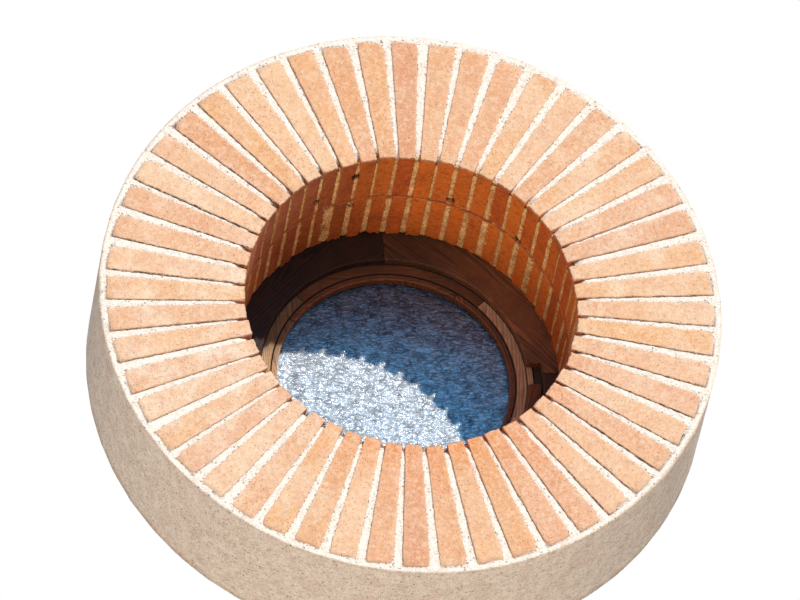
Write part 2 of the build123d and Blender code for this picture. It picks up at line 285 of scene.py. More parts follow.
def makeBoardGrain():
    shape = grainShape
    settings = {"Rings": 60.0, "Cracks": 0.5}
    tree, given, result = newGroup("boardGrain", settings, ["Light", "Crack", "Height"])
    along = mapped(given["Vector"], {"Scale": (shape["along"], 1.0, 1.0)})
    sway = noiseTexture(along, *shape["sway"])
    swayBy = joined(0.0, times(sway, shape["swayOut"]), times(sway, shape["swayUp"]))
    bent = vectorMath("ADD", along, swayBy)[0]
    bands = {"wave_type": "BANDS", "bands_direction": "Z", "wave_profile": "SAW"}
    inputs = {"Vector": bent, "Scale": given["Rings"], **shape["rings"]}
    rings = addNode("TexWave", bands, inputs).outputs["Fac"]
    fibreVector = mapped(given["Vector"], {"Scale": (shape["fibreAlong"], 1.0, 1.0)})
    fibre = noiseTexture(fibreVector, *shape["fibre"])
    broad = noiseTexture(along, *shape["broad"])
    light = timesPlus(rings, shape["ringLight"], times(fibre, shape["fibreLight"]))
    light = calc("MULTIPLY_ADD", broad, shape["broadLight"], light, clamp=True)
    split = noiseTexture(fibreVector, *shape["split"])
    crack = times(remap(split, *shape["crack"]), given["Cracks"])
    height = timesPlus(fibre, shape["fibreHeight"], times(rings, shape["ringHeight"]))
    height = calc("SUBTRACT", height, times(crack, shape["crackDepth"]))
    fillInputs(result, {"Light": light, "Crack": crack, "Height": height})
    return tree


def makeJointSeam():
    # a dark line along the radius at an angle in degrees, painted shadow in the joint where two curved
    # pieces meet
    tree, given, result = newGroup("jointSeam", {"Angle": 0.0, "Half": 0.001}, ["Mask"])
    turnBy = joined(0.0, calc("RADIANS", given["Angle"]), 0.0)
    x, y, z = axes(mapped(given["Vector"], {"Rotation": turnBy}))
    near = remap(calc("DIVIDE", calc("ABSOLUTE", z), given["Half"]), 0.5, 1.0, 1.0, 0.0)
    fillInputs(result, {"Mask": times(near, calc("GREATER_THAN", x, 0.0))})
    return tree


def makeRingSeam():
    # a dark line round the window's axis, painted shadow in the gap between two rings of timber
    tree, given, result = newGroup("ringSeam", {"Radius": 0.2, "Half": 0.001}, ["Mask"])
    flat = vectorMath("MULTIPLY", given["Vector"], (1, 0, 1))[0]
    radius = addNode("VectorMath", {"operation": "LENGTH"}, {0: flat}).outputs["Value"]
    away = calc("ABSOLUTE", calc("SUBTRACT", radius, given["Radius"]))
    near = remap(calc("DIVIDE", away, given["Half"]), 0.7, 1.0, 1.0, 0.0)
    fillInputs(result, {"Mask": near})
    return tree


wearShape = {"noise": (90.0, 5.0, 0.7), "unworn": 0.75, "byAmount": 0.5, "softness": 0.14}


def makeEdgeWear():
    tree, given, result = newGroup("edgeWear", {"Edge": 0.0, "Amount": 0.6}, ["Mask"])
    broken = noiseTexture(given["Vector"], *wearShape["noise"])
    low = calc("SUBTRACT", wearShape["unworn"], times(given["Amount"], wearShape["byAmount"]))
    worn = remap(broken, low, calc("ADD", low, wearShape["softness"]))
    fillInputs(result, {"Mask": calc("MULTIPLY", worn, given["Edge"], clamp=True)})
    return tree


sandGrain = makeSandGrain()
patches = makePatches()
boardGrain = makeBoardGrain()
edgeWear = makeEdgeWear()
ringSeam = makeRingSeam()
jointSeam = makeJointSeam()
# near black: painted shadow in the mortar's holes and in the timber's seams and joints
paintedShadowBlack = (0.004, 0.003, 0.002, 1.0)
holeShadowShare = 0.95

# Brick: pale and dusty on the wall face, deep orange on the reveal, where the deep orange is painted shade
# and warm bounce light, weaker where the reveal faces up

brickLook = {
    "faceTints": [(241, 192, 146), (230, 170, 126), (243, 202, 164), (233, 178, 142), (239, 187, 134),
                  (226, 165, 128)],
    # the reveal's tints are painted shade and warm bounce light on the brick
    "revealShadeTints": [(212, 98, 28), (232, 122, 36), (200, 90, 26), (236, 128, 42), (202, 94, 32)],
    "dust": (249, 230, 208),
    "lilac": (240, 206, 186),
    "rose": (222, 158, 134),
    "ember": (236, 152, 88),
    "grey": (224, 160, 130),
    "soot": (96, 44, 22),
    "flame": (236, 126, 44),
    "pit": (140, 80, 50),
    # painted shadow and dirt under the arrises
    "shadowDirt": (66, 34, 20),
    "patches": {"rosy": (24.0, 0.42, 0.68), "ember": (70.0, 0.46, 0.7), "dusty": (140.0, 0.46, 0.66),
                "sooty": (18.0, 0.5, 0.8), "speck": (270.0, 0.6, 0.68), "pale": (11.0, 0.45, 0.66),
                "freckle": (120.0, 0.5, 0.66), "lively": (90.0, 0.52, 0.7)},
    # how much each shows, or the rise with a mark or a patch and the share without it
    "roseShare": 0.22,
    "emberShare": (0.8, 0.15),
    "paleShare": (0.6, 0.2),
    "weatherShare": 0.24,
    "faceDust": 0.45,
    "edgeDust": 0.35,
    "sootShare": 0.55,
    "greyShare": (0.5, 0.5),
    "freckleShare": 0.4,
    "flameShare": 0.45,
    "leftShadeShare": 0.4,
    "revealDust": 0.05,
    "speckShare": (0.7, 0.4),
    "pitShare": 0.35,
    "shadowDirtShare": 0.85,
    "grainShare": 0.6,
    # places in metres, to the right and into the wall, and what the share is there
    # paler and greyer towards the left front of the reveal
    "greyLeft": (-0.06, -0.24, 0.0, 0.9),
    "greyDeep": (0.05, 0.16, 1.0, 0.35),
    # painted shade: a darker band left of the reveal's middle
    "leftShadeFrom": (0.02, -0.08),
    "leftShadeTo": (-0.26, -0.2),
    "grainShade": [(0.34, (0.55, 0.48, 0.43, 1)), (0.58, (1.1, 1.1, 1.1, 1))],
    "shadowDirtNoise": (110.0, 5.0, 0.75),
    "shadowDirtBreaks": (0.46, 0.53),
    "shift": (7.3, -3.1),  # moves the pattern from brick to brick
    "grains": 520.0,
    "pits": 0.16,
    "roughness": (0.3, 0.7, 0.95, 0.8),
    "bump": (0.6, 0.0012),
    "specular": 0.25,
}


def brickFace(brick, mask, scorch, weather):
    look = brickLook
    body = evenRamp(brick, look["faceTints"])
    body = mixColour(times(mask["rosy"], look["roseShare"]), body, look["rose"])
    hot = times(larger(mask["ember"], scorch), timesPlus(scorch, *look["emberShare"]))
    body = mixColour(hot, body, look["ember"])
    pale = times(mask["pale"], timesPlus(weather, *look["paleShare"]))
    pale = timesPlus(weather, look["weatherShare"], pale)
    body = mixColour(pale, body, mixColour(mask["rosy"], look["dust"], look["lilac"]))
    edge = attribute("edgeCloseness")
    haze = larger(times(mask["dusty"], look["faceDust"]), times(edge, look["edgeDust"]))
    return mixColour(haze, body, look["dust"])


# the reveal's deep orange is a painted shaded and bounce-lit copy of the brick, with its own marks
def brickRevealShade(brick, mask, place):
    look = brickLook
    x, y, z = axes(place)
    body = evenRamp(brick, look["revealShadeTints"])
    # paler and greyer towards the left front of the reveal
    greyed = times(remap(x, *look["greyLeft"]), timesPlus(mask["rosy"], *look["greyShare"]))
    greyed = times(greyed, remap(y, *look["greyDeep"]))
    # painted shade: a darker band left of the reveal's middle
    leftShade = times(remap(x, *look["leftShadeFrom"]), remap(x, *look["leftShadeTo"]))
    layers = [(times(mask["sooty"], look["sootShare"]), "soot"), (greyed, "grey"),
              (times(mask["freckle"], look["freckleShare"]), "soot"),
              (times(mask["lively"], look["flameShare"]), "flame"),
              (times(leftShade, look["leftShadeShare"]), "soot"),
              (times(mask["dusty"], look["revealDust"]), "dust")]
    for share, colour in layers:
        body = mixColour(share, body, look[colour])
    return body


def makeBrickMaterial():
    look = brickLook
    material, shader, place = newMaterial("firedBrick")
    brick = attribute("brickNumber")
    scorch = attribute("scorch")
    shift = joined(times(brick, look["shift"][0]), 0.0, times(brick, look["shift"][1]))
    vector = vectorMath("ADD", place, shift)[0]
    mask = patchMasks(vector, look["patches"])
    sand = useGroup(sandGrain, {"Vector": vector, "Grains": look["grains"], "Pits": look["pits"]})
    face = brickFace(brick, mask, scorch, attribute("weather"))
    # the reveal's deep orange is painted shade and warm bounce light
    body = mixColour(attribute("revealShadeTone"), face, brickRevealShade(brick, mask, place))
    body = mixColour(look["grainShare"], body, ramp(sand["Grain"], look["grainShade"]), "MULTIPLY")
    spots = calc("MULTIPLY", mask["speck"], timesPlus(scorch, *look["speckShare"]), clamp=True)
    spots = larger(spots, times(sand["Pits"], look["pitShare"]))
    body = mixColour(spots, body, look["pit"])
    # painted shadow and dirt under the arrises
    broken = remap(noiseTexture(vector, *look["shadowDirtNoise"]), *look["shadowDirtBreaks"])
    body = shadowedAndSoiled(body, look, times(attribute("shadowAndDirt"), broken))
    fillShader(shader, look, body, remap(sand["Grain"], *look["roughness"]), sand["Height"])
    return material


mortarLook = {
    "face": (255, 250, 244),
    "faceShade": (242, 224, 208),
    # the reveal's tan is painted shade and warm bounce light on the mortar
    "reveal": (255, 210, 144),
    "revealShade": (220, 150, 88),
    "brickDust": (180, 84, 34),
    "grit": (104, 68, 46),
    "shadowDirt": (70, 40, 26),
    "patches": {"grit": (330.0, 0.57, 0.64), "gritty": (30.0, 0.4, 0.6), "cloud": (38.0, 0.4, 0.7),
                "edgeGrit": (250.0, 0.53, 0.58)},
    "cloudShare": 0.5,
    "dustNoise": (60.0, 3.0),
    "dustBreaks": (0.3, 0.5, 0.55, 1.0),
    "grainShare": (0.6, 0.34),  # the rise with the reveal's tone, and the share without it
    "grainShade": [(0.36, (0.34, 0.28, 0.24, 1)), (0.56, (1.2, 1.2, 1.2, 1))],
    "gritShare": (0.5, 0.12),
    "edgeGritShare": 0.9,
    "pitShare": 0.45,
    "shadowDirtBreaks": (0.35, 0.55, 0.5, 1.0),
    "shadowDirtShare": 0.8,
    "grains": 420.0,
    "pits": 0.1,
    "roughness": 0.95,
    "bump": (0.9, 0.0018),
    "specular": 0.2,
}


def makeMortarMaterial():
    look = mortarLook
    material, shader, place = newMaterial("limeMortar")
    tone = attribute("revealShadeTone")
    mask = patchMasks(place, look["patches"])
    sand = useGroup(sandGrain, {"Vector": place, "Grains": look["grains"], "Pits": look["pits"]})
    face = mixColour(times(mask["cloud"], look["cloudShare"]), look["face"], look["faceShade"])
    # the reveal's tone is painted shade and warm bounce light
    body = mixColour(tone, face, mixColour(mask["cloud"], look["reveal"], look["revealShade"]))
    broken = remap(noiseTexture(place, *look["dustNoise"]), *look["dustBreaks"])
    body = mixColour(times(attribute("brickDust"), broken), body, look["brickDust"])
    grainShare = timesPlus(tone, *look["grainShare"])
    body = mixColour(grainShare, body, ramp(sand["Grain"], look["grainShade"]), "MULTIPLY")
    grit = times(mask["grit"], timesPlus(mask["gritty"], *look["gritShare"]))
    edgeShare = times(attribute("nearBrick"), look["edgeGritShare"])
    grit = larger(grit, times(mask["edgeGrit"], edgeShare))
    grit = larger(grit, times(sand["Pits"], look["pitShare"]))
    body = mixColour(grit, body, look["grit"])
    # painted shadow and dirt along the bricks' lower edges
    body = shadowedAndSoiled(body, look, times(attribute("shadowAndDirt"), remap(sand["Grain"], *look["shadowDirtBreaks"])))
    fillShader(shader, look, body, look["roughness"], sand["Height"])
    return material


# Timber: each piece is cut from a straight board, so its grain runs straight across it

timberLook = {
    "black": {"dark": (15, 8, 5), "light": (72, 43, 27), "worn": (86, 60, 40), "cracks": 0.8},
    "frame": {"dark": (40, 22, 13), "light": (112, 70, 43), "worn": (134, 94, 66), "cracks": 0.7},
    "brown": {"dark": (70, 44, 29), "light": (176, 116, 78), "worn": (184, 130, 92), "cracks": 0.6,
              "fade": (0, 0.21, 0.07)},  # the axis, where the look is kept, and where it has gone dark
    "sash": {"dark": (66, 36, 21), "light": (154, 98, 64), "worn": (160, 112, 76), "cracks": 0.45},
    "pale": {"dark": (158, 108, 80), "light": (252, 206, 170), "worn": (252, 218, 190), "cracks": 0.5},
    "red": {"dark": (84, 40, 24), "light": (150, 84, 50), "worn": (176, 124, 86), "cracks": 0.4},
    # the bleached look fades to painted shade above the part the sun falls on
    "bleached": {"dark": (150, 110, 78), "light": (240, 196, 150), "worn": (244, 206, 166), "cracks": 0.5,
                 "fade": (2, 0.045, 0.085)},
}
timberFinish = {
    "patches": {"stain": (16.0, 0.35, 0.75), "blotch": (52.0, 0.45, 0.68)},
    "stainShare": 0.55,
    "blotchShare": 0.35,
    "wear": 0.8,
    "wearShare": 0.45,
    "tones": (0.25, 0.75),
    "rings": 60.0,
    "crack": (0.006, 0.004, 0.003, 1),
    # the dark colour a look fades to: painted shade on the bleached pieces, a darker upper end on the brown
    # board
    "soaked": (0.02, 0.009, 0.005, 1),
    "soakedKeeps": 0.3,
    "fadeShare": 0.93,
    # painted shadow in the corners beside the sash's face, as (radius, half width)
    "seams": {"sash": [(238.6, 1.3), (219.6, 1.2)], "glazing_bead": [(218.6, 1.2)]},
    "seamDepth": (0.3, 0.296, 0.0, 0.9),  # only on the street side
    "jointHalf": 1.3,
    "jointShare": 0.9,
    "roughness": (0.2, 0.8, 0.72, 0.52),
    "bump": (0.5, 0.0009),
    "specular": 0.35,
    "rounding": 0.9,
    "apart": (0.37, 0.61, 0.23),  # from one piece's board to the next
}


def makeTimberMaterial(name, look, grainAngle, offset, joints=()):
    finish = timberFinish
    material, shader, place = newMaterial(f"timber_{name}")
    vector = mapped(place, {"Location": offset, "Rotation": (0.0, math.radians(grainAngle), 0.0)})
    grain = useGroup(boardGrain, {"Vector": vector, "Rings": finish["rings"], "Cracks": look["cracks"]})
    mask = patchMasks(vector, finish["patches"])
    body = ramp(grain["Light"], list(zip(finish["tones"], (look["dark"], look["light"]))))
    body = mixColour(times(mask["stain"], finish["stainShare"]), body, look["dark"])
    body = mixColour(times(mask["blotch"], finish["blotchShare"]), body, look["dark"])
    wear = times(wornMask(vector, finish["wear"]), finish["wearShare"])
    body = mixColour(wear, body, look["worn"])
    body = mixColour(grain["Crack"], body, finish["crack"])
    # darker along one axis: painted shade above the sunlit part of the bleached pieces, and a darker upper
    # end on the brown board
    if "fade" in look:
        axis, kept, gone = look["fade"]
        fade = times(remap(axes(place)[axis], kept, gone), finish["fadeShare"])
        body = mixColour(fade, body, mixColour(finish["soakedKeeps"], finish["soaked"], body))
    seams = next((rows for start, rows in finish["seams"].items() if name.startswith(start)), [])
    street = remap(axes(place)[1], *finish["seamDepth"])
    # painted shadow in the gaps beside the sash's face, only on the street side
    for radius, half in seams:
        seam = useGroup(ringSeam, {"Vector": place, "Radius": radius * mm, "Half": half * mm})["Mask"]
        body = mixColour(times(seam, street), body, paintedShadowBlack)
    # painted shadow in the joints where two pieces meet
    for angle in joints:
        values = {"Vector": place, "Angle": angle, "Half": finish["jointHalf"] * mm}
        seam = useGroup(jointSeam, values)["Mask"]
        body = mixColour(times(seam, finish["jointShare"]), body, paintedShadowBlack)
    fillShader(shader, finish, body, remap(grain["Light"], *finish["roughness"]), grain["Height"])
    return material


# Glass: a broad sheen that the sun lights evenly, over a sharper mirror that carries the dark ripples; the
# ripples and creases are painted dark reflections in the mirror's tint, the sheen's weight and the body, and
# the pane's top is painted darker as shade

glassLook = {
    "body": (46, 52, 46),
    "rim": (36, 39, 37),
    # painted shade and painted dark reflection at the top of the pane, under the reveal
    "topShadeColour": (16, 12, 10),
    # painted dark reflection in the creases
    "crease": (14, 14, 18),
    # the mirror's tint, dulled in the painted dark streaks and creases
    "mirror": (0.85, 0.97, 1.0, 1.0),
    "dullMirror": (0.03, 0.03, 0.04, 1.0),
    "patches": {"cloud": (12.0, 0.3, 0.75)},
    "creaseShare": 0.7,
    # painted shade at the top of the pane, which also dulls its mirror and sheen
    "topShadeHeight": (0.05, 0.17),  # up the pane, in metres
    "topShadeShare": 0.85,
    "topShadeDulls": (-0.5, 1.0),
    "flatten": (0.42, 1.0, 1.2),
    # the streaks and creases below are painted dark reflections
    "streak": (150.0, 4.0, 0.65, 1.2),  # noises as scale, detail, roughness and distortion
    "streakEdges": (0.42, 0.55),
    "ripple": (460.0, 3.0, 0.6, 0.6),
    "swell": (165.0, 2.0, 0.5, 1.0),
    "mirrorCrease": (-0.9, 1.0),
    "rippleBump": (0.3, 0.001),
    "swellBump": (1.0, 0.0022),
    "roughness": (0.3, 0.7, 0.15, 0.25),
    "ior": 2.3,
    "sheenRoughness": 0.41,
    "sheenIor": 2.75,
    "sheenStreak": (0.0, 1.0, 0.78, 1.0),
    "sheenCrease": (-0.55, 1.0),
    "transmission": 0.2,
}


def makeGlassMaterial():
    look = glassLook
    material, shader, place = newMaterial("hammeredGlass")
    # the creases darken the body, mirror and sheen as painted dark reflections
    crease = attribute("crease")
    # painted shade and painted dark reflection: the top of the pane is darker, and clean is the share of
    # mirror and sheen left there
    topShade = remap(axes(place)[2], *look["topShadeHeight"])
    clean = timesPlus(topShade, *look["topShadeDulls"])
    cloud = patchMasks(place, look["patches"])["cloud"]
    body = mixColour(cloud, look["body"], look["rim"])
    body = mixColour(times(crease, look["creaseShare"]), body, look["crease"])
    body = mixColour(times(topShade, look["topShadeShare"]), body, look["topShadeColour"])
    flat = mapped(place, {"Scale": look["flatten"]})
    # painted dark reflections: streaks that dull the mirror's tint and the sheen's weight
    streak = remap(noiseTexture(flat, *look["streak"]), *look["streakEdges"])
    shine = times(times(streak, timesPlus(crease, *look["mirrorCrease"])), clean)
    sheen = times(remap(streak, *look["sheenStreak"]), timesPlus(crease, *look["sheenCrease"]))
    ripple = noiseTexture(flat, *look["ripple"])
    waves = bumped(noiseTexture(flat, *look["swell"]), *look["swellBump"])
    fillInputs(shader, {"Base Color": body, "IOR": look["ior"], "Specular IOR Level": 1.0,
                        "Specular Tint": mixColour(shine, look["dullMirror"], look["mirror"]),
                        "Roughness": remap(ripple, *look["roughness"]),
                        "Normal": bumped(ripple, *look["rippleBump"], waves),
                        "Transmission Weight": look["transmission"],
                        "Coat Weight": times(sheen, clean), "Coat IOR": look["sheenIor"],
                        "Coat Roughness": look["sheenRoughness"]})
    return material


beddingLook = {"clean": (0.018, 0.015, 0.012, 1), "dusty": (0.06, 0.05, 0.04, 1),
               "patches": {"dust": (90.0, 0.4, 0.7)}, "roughness": (0.0, 1.0, 0.6, 0.85)}


def makeBeddingMaterial():
    material, shader, place = newMaterial("glassBedding")
    dust = patchMasks(place, beddingLook["patches"])["dust"]
    fillInputs(shader, {"Base Color": mixColour(dust, beddingLook["clean"], beddingLook["dusty"]),
                        "Roughness": remap(dust, *beddingLook["roughness"])})
    return material


metalLook = {
    "agedBrass": {"clean": (196, 158, 92), "tarnish": (112, 84, 46), "edge": (226, 196, 130),
                  "roughness": (0.26, 0.5)},
    "zincSteel": {"clean": (168, 168, 166), "tarnish": (120, 116, 110), "edge": (204, 204, 202),
                  "roughness": (0.3, 0.48)},
}
metalFinish = {
    "patches": {"age": (110.0, 0.38, 0.66)},
    "wear": 0.9,
    "scratchAlong": (1.0, 1.0, 0.05),
    "scratch": (1400.0, 2.0, 0.5),
    "scratchRough": 0.12,
    "bump": (0.2, 0.0003),
    "specular": 0.5,
    "rounding": 0.3,
}


def makeMetalMaterial(name):
    look, finish = metalLook[name], metalFinish
    low, high = look["roughness"]
    material, shader, place = newMaterial(name)
    age = patchMasks(place, finish["patches"])["age"]
    scratch = noiseTexture(mapped(place, {"Scale": finish["scratchAlong"]}), *finish["scratch"])
    body = mixColour(age, look["clean"], look["tarnish"])
    body = mixColour(wornMask(place, finish["wear"]), body, look["edge"])
    rough = timesPlus(scratch, finish["scratchRough"], timesPlus(age, high - low, low))
    fillShader(shader, finish, body, rough, scratch)
    fillInputs(shader, {"Metallic": 1.0})
    return material


brickMaterial = makeBrickMaterial()
mortarMaterial = makeMortarMaterial()
glassMaterial = makeGlassMaterial()
beddingMaterial = makeBeddingMaterial()
brassMaterial = makeMetalMaterial("agedBrass")
zincMaterial = makeMetalMaterial("zincSteel")
print("materials made")


# Pieces

def addObject(name, data):
    made = bpy.data.objects.new(name, data)
    bpy.context.scene.collection.objects.link(made)
    return made


def addPiece(name, points, faces, material, marks, smoothAngle=None):
    # points are in millimetres
    mesh = bpy.data.meshes.new(name)
    mesh.from_pydata([tuple(value * mm for value in point) for point in points], [], faces)
    for label, values in marks.items():
        mesh.attributes.new(label, "FLOAT", "POINT").data.foreach_set("value", values)
    mesh.materials.append(material)
    mesh.shade_smooth()
    if smoothAngle is not None:
        mesh.set_sharp_from_angle(angle=math.radians(smoothAngle))
    return addObject(name, mesh)


def standFor(piece, name):
    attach(piece, bodyOf[name])
    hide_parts(name)


def looseParts(name):
    # the separate solids of a node, as lists of points in millimetres
    work = bmesh.new()
    work.from_mesh(nodes[name].data)
    bmesh.ops.remove_doubles(work, verts=work.verts, dist=1e-6)
    work.verts.ensure_lookup_table()
    seen = set()
    parts = []
    for first in work.verts:
        if first.index in seen:
            continue
        seen.add(first.index)
        stack = [first]
        points = []
        while stack:
            vertex = stack.pop()
            points.append(vertex.co / mm)
            for edge in vertex.link_edges:
                other = edge.other_vert(vertex)
                if other.index not in seen:
                    seen.add(other.index)
                    stack.append(other)
        parts.append(points)
    work.free()
    return parts


# Bricks, each built again as a rough hand-laid one in the same place; lengths are in millimetres

brickShape = {
    "edgeLines": [0.0, 1.1, 2.8, 6.0],  # rows of points beside an edge
    "cell": 5.2,
    "acrossCells": 6,
    "hiddenBeyond": 3,  # cells kept on a hidden face, beside one that shows
    "roundLeast": 0.9,
    "roundMost": 3.2,
    "roundScale": 0.03,
    "chipScale": 0.055,
    "chipFrom": 0.22,
    "chipDepth": 3.2,
    "endReach": 12,
    "endRound": 7.0,
    "arrisReach": 9,
    "arrisChips": 9.0,
    "arrisScale": 0.13,
    "arrisFrom": 0.02,
    "boardEndChips": 11.0,
    "boardEndScale": 0.07,
    "boardEndFrom": -0.25,
    "skin": 0.35,
    "waves": 0.6,
    "waveScale": 0.09,
    "fineWaves": 0.25,
    "fineScale": 0.33,
    "pitDepth": 0.9,
    "pitScale": 0.21,
    "pitFrom": 0.42,
    "sideWander": 1.3,
    "sideScale": 0.035,
    "innerShrink": 0.7,
    "innerShift": 0.7,
    "holePull": 7,
    "smoothAngle": 55,
}
# Where a brick takes its colours
brickWeather = {
    "marks": ["revealShadeTone", "edgeCloseness", "scorch", "weather", "shadowAndDirt", "hollow"],
    "leftTurn": 0.3,
    "rightTurn": 0.2,
    "rightShare": 0.6,
    # painted shade on the brick sides in the joints
    "jointShadeTone": 0.8,
    "edgeReach": 7,
    "scorchReach": 0.6,
    "scorchLeast": 0.15,
    # the side that takes painted shadow, down and a little to the left, away from the light
    "shadowSide": Vector((-0.45, 0.0, -0.89)),
    # painted shadow and dirt along the arrises
    "arrisShadowDirt": [(3.0, 0.9), (5.0, 1.0)],  # reach and most, in the front ring and the rear one
    "undersideFrom": 0.6,
    "undersideRise": 2.5,
    "undersideReach": 12,
    "hollowRise": 6.0,
}


def gridLines(length, cell):
    # lines close together near both ends and evenly spaced between
    near = brickShape["edgeLines"]
    middle = length - 2 * near[-1]
    steps = max(1, round(middle / cell))
    between = [near[-1] + middle * step / steps for step in range(1, steps)]
    return near + between + [length - value for value in reversed(near)]


def wedgeAxes(angle):
    return Vector((math.cos(angle), 0, math.sin(angle))), Vector((-math.sin(angle), 0, math.cos(angle)))


def measureBrick(points):
    # where a wedge lies: its angle, its corners in (outwards, across) and its two faces
    cornerReach = 3
    centre = sum(points, Vector()) / len(points)
    angle = math.atan2(centre.z, centre.x)
    out, across = wedgeAxes(angle)
    flat = [(point.dot(out), point.dot(across)) for point in points]
    innermost = min(flat)[0]
    outermost = max(flat)[0]
    corners = []
    for side in (-1, 1):
        outer = max((point for point in flat if point[0] > outermost - cornerReach),
                    key=lambda point: side * point[1])
        inner = max((point for point in flat if point[0] < innermost + cornerReach),
                    key=lambda point: side * point[1])
        slope = (outer[1] - inner[1]) / (outer[0] - inner[0])
        corners.append((inner[1] + slope * (innermost - inner[0]), outer[1]))
    depths = [point.y for point in points]
    return {"angle": angle, "inner": innermost, "outer": outermost, "corners": corners, "front": min(depths),
            "back": max(depths)}


# holes left in the mortar of the reveal, as (angle, distance behind the mortar's face)
mortarHoles = [(117.7, 88.0), (103.8, 47.0), (103.8, 144.0), (69.2, 112.0), (41.5, 119.0)]
mortarHoleShape = {"radius": 7.5, "rise": 2.4, "ragged": 0.6, "raggedScale": 0.2}


def ringPoint(radius, depth, angle):
    return Vector((radius * math.cos(angle), depth, radius * math.sin(angle)))


def holeShare(place):
    # 1 inside a hole in the joints of the reveal and 0 away from it
    shape = mortarHoleShape
    radius = math.hypot(place.x, place.z)
    share = 0.0
    for angle, depth in mortarHoles:
        gap = (place - ringPoint(radius, depth, math.radians(angle))).length
        gap *= 1 + shape["ragged"] * noise.noise(place * shape["raggedScale"])
        share = max(share, min(1.0, shape["rise"] - shape["rise"] * gap / shape["radius"]))
    return share


def blockFaces(counts, seenEnd):
    # the faces of a block of grid points: small cells where it shows, and a single face over the rest
    hidden = brickShape["hiddenBeyond"]
    quads = []
    rectangles = []

    def addFace(fixed, atEnd, detailed, stripSides):
        # stripSides are the edges, as (axis, end), that keep their cells on a hidden face
        first, second = [axis for axis in range(3) if axis != fixed]
        level = counts[fixed] - 1 if atEnd else 0
        last = (counts[first] - 1, counts[second] - 1)
        low = [hidden if (axis, 0) in stripSides else 0 for axis in (first, second)]
        high = [end - hidden if (axis, 1) in stripSides else end for axis, end in zip((first, second), last)]

        def key(i, j):
            made = [0, 0, 0]
            made[fixed], made[first], made[second] = level, i, j
            return tuple(made)

        flip = (fixed == 1) != atEnd
        for i in range(last[0]):
            for j in range(last[1]):
                inside = low[0] <= i < high[0] and low[1] <= j < high[1]
                if inside and not detailed:
                    continue
                quad = [key(i, j), key(i + 1, j), key(i + 1, j + 1), key(i, j + 1)]
                quads.append(quad if flip else quad[::-1])
        if not detailed:
            rim = [key(i, low[1]) for i in range(low[0], high[0])]
            rim += [key(high[0], j) for j in range(low[1], high[1])]
            rim += [key(i, high[1]) for i in range(high[0], low[0], -1)]
            rim += [key(low[0], j) for j in range(high[1], low[1], -1)]
            corner = {key(i, j) for i in (low[0], high[0]) for j in (low[1], high[1])}
            rectangles.append((rim if flip else rim[::-1], corner))

    seen = (2, seenEnd)
    addFace(0, False, True, set())
    addFace(0, True, False, {seen})
    addFace(1, False, False, {(0, 0), seen})
    addFace(1, True, False, {(0, 0), seen})
    addFace(2, seenEnd == 1, True, set())
    addFace(2, seenEnd == 0, False, {(0, 0)})
    used = {key for quad in quads for key in quad}
    for rim, corner in rectangles:
        used |= corner
    return sorted(used), quads + [[key for key in rim if key in used] for rim, corner in rectangles]


def edgeRadius(where, seed, wander, toRim, endGap, seenEnd):
    # how far the edges beside a point are rounded and chipped away
    shape = brickShape
    radius = shape["roundLeast"] + (shape["roundMost"] - shape["roundLeast"]) * (0.5 + 0.5 * wander)
    chip = max(0.0, noise.noise(where * shape["chipScale"] + seed * 2) - shape["chipFrom"]) * 2
    radius += chip * shape["chipDepth"]
    if seenEnd == 0 and toRim < shape["endReach"] and endGap < shape["endReach"]:
        radius += shape["endRound"] * (0.7 + 0.6 * wander)
    if seenEnd == 0 and where[0] < shape["arrisReach"] and endGap < shape["arrisReach"]:
        chip = noise.noise(where * shape["arrisScale"] + seed * 4) - shape["arrisFrom"]
        radius += shape["arrisChips"] * max(0.0, chip)
    if seenEnd == 1 and where[0] < shape["endReach"] and endGap < shape["endReach"]:
        chip = noise.noise(where * shape["boardEndScale"] + seed * 3) - shape["boardEndFrom"]
        radius += shape["boardEndChips"] * max(0.0, chip)
    return radius


def brickMarks(brick, spot, size, share, endGap, direction, across, seenEnd):
    # the marks of one point, which the brick material turns into colours
    weather = brickWeather
    angle = brick["angle"]
    facingUp = max(0.0, -math.sin(angle))
    onLeft = max(0.0, -math.cos(angle - weather["leftTurn"]))
    onRight = max(0.0, math.cos(angle - weather["rightTurn"]))
    # painted shade on the reveal and in the joints, weaker where the reveal faces up to the light
    onReveal = max(0.0, 1 - spot[0] / 2.5) * (1 - 0.8 * facingUp)
    onFront = max(0.0, 1 - spot[2] / 4) if seenEnd == 0 else 0.0
    inJoint = weather["jointShadeTone"] if (spot[2] > 3 or seenEnd) and spot[0] > 1.0 else 0.0
    heat = weather["scorchLeast"] + (1 - weather["scorchLeast"]) * facingUp ** 2
    gaps = sorted(min(value, length - value) for value, length in zip(spot, size))
    # painted shadow under the bricks' lower and left sides, with dirt along the arrises
    turn = direction[1] * across.dot(weather["shadowSide"])
    dirtReach, dirtMost = weather["arrisShadowDirt"][seenEnd]
    shadowAndDirt = max(0.0, 1 - max(spot[0], endGap) / dirtReach) * dirtMost
    if seenEnd == 0 and spot[2] < weather["undersideReach"]:
        underside = max(0.0, turn - weather["undersideFrom"]) * weather["undersideRise"]
        shadowAndDirt = max(shadowAndDirt, min(1.0, underside))
    return {
        "revealShadeTone": min(1.0, max(onReveal, inJoint)) * (1 - 0.75 * onFront),
        "edgeCloseness": max(0.0, 1 - gaps[1] / weather["edgeReach"]),
        "scorch": max(0.0, 1 - share / weather["scorchReach"]) * heat,
        "weather": max(onLeft ** 2, weather["rightShare"] * onRight ** 2),
        "shadowAndDirt": shadowAndDirt,
    }


